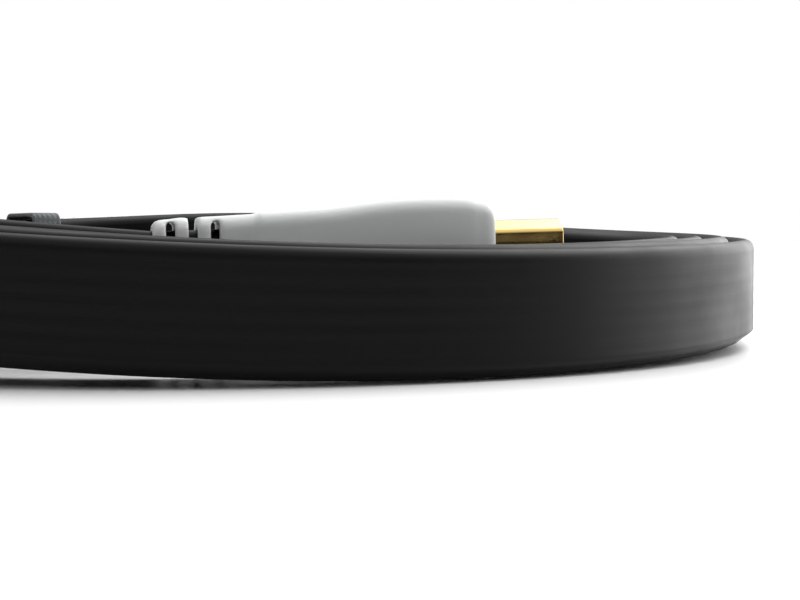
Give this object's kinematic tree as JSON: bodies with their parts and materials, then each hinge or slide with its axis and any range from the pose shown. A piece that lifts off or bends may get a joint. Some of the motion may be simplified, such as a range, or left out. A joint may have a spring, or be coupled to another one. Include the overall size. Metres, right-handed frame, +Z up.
{
  "type": "flat digital video cable",
  "caption": "Flat black digital video cable wound on edge into a tied coil, with a grey grip and strain relief and a gold plated plug at each end.",
  "frame": {"origin": "middle of the coiled cable's bounding box, on the floor that it lies on", "axes": "+Z up, across the cable's width; +X to the right, the way both plugs point; +Y away from the viewer, towards the plug behind the coil"},
  "size_m": [0.1552, 0.1564, 0.0197],
  "materials": {
    "jacket": "satin extruded soft vinyl",
    "grip": "fine matt moulded vinyl",
    "shell": "gold plated sheet metal",
    "insulator": "moulded black nylon",
    "contacts": "gold plated",
    "tie": "woven band"
  },
  "bodies": {
    "root": {"flat_cable": "jacket", "bundle_tie": "tie", "plug_a_grip": "grip", "plug_a_shell": "shell", "plug_a_insulator": "insulator", "plug_b_grip": "grip", "plug_b_shell": "shell", "plug_b_insulator": "insulator", "plug_a_contact_01": "contacts", "plug_a_contact_02": "contacts", "plug_a_contact_03": "contacts", "plug_a_contact_04": "contacts", "plug_a_contact_05": "contacts", "plug_a_contact_06": "contacts", "plug_a_contact_07": "contacts", "plug_a_contact_08": "contacts", "plug_a_contact_09": "contacts", "plug_a_contact_10": "contacts", "plug_a_contact_11": "contacts", "plug_a_contact_12": "contacts", "plug_a_contact_13": "contacts", "plug_a_contact_14": "contacts", "plug_a_contact_15": "contacts", "plug_a_contact_16": "contacts", "plug_a_contact_17": "contacts", "plug_a_contact_18": "contacts", "plug_a_contact_19": "contacts", "plug_b_contact_01": "contacts", "plug_b_contact_02": "contacts", "plug_b_contact_03": "contacts", "plug_b_contact_04": "contacts", "plug_b_contact_05": "contacts", "plug_b_contact_06": "contacts", "plug_b_contact_07": "contacts", "plug_b_contact_08": "contacts", "plug_b_contact_09": "contacts", "plug_b_contact_10": "contacts", "plug_b_contact_11": "contacts", "plug_b_contact_12": "contacts", "plug_b_contact_13": "contacts", "plug_b_contact_14": "contacts", "plug_b_contact_15": "contacts", "plug_b_contact_16": "contacts", "plug_b_contact_17": "contacts", "plug_b_contact_18": "contacts", "plug_b_contact_19": "contacts"}
  },
  "joints": []
}
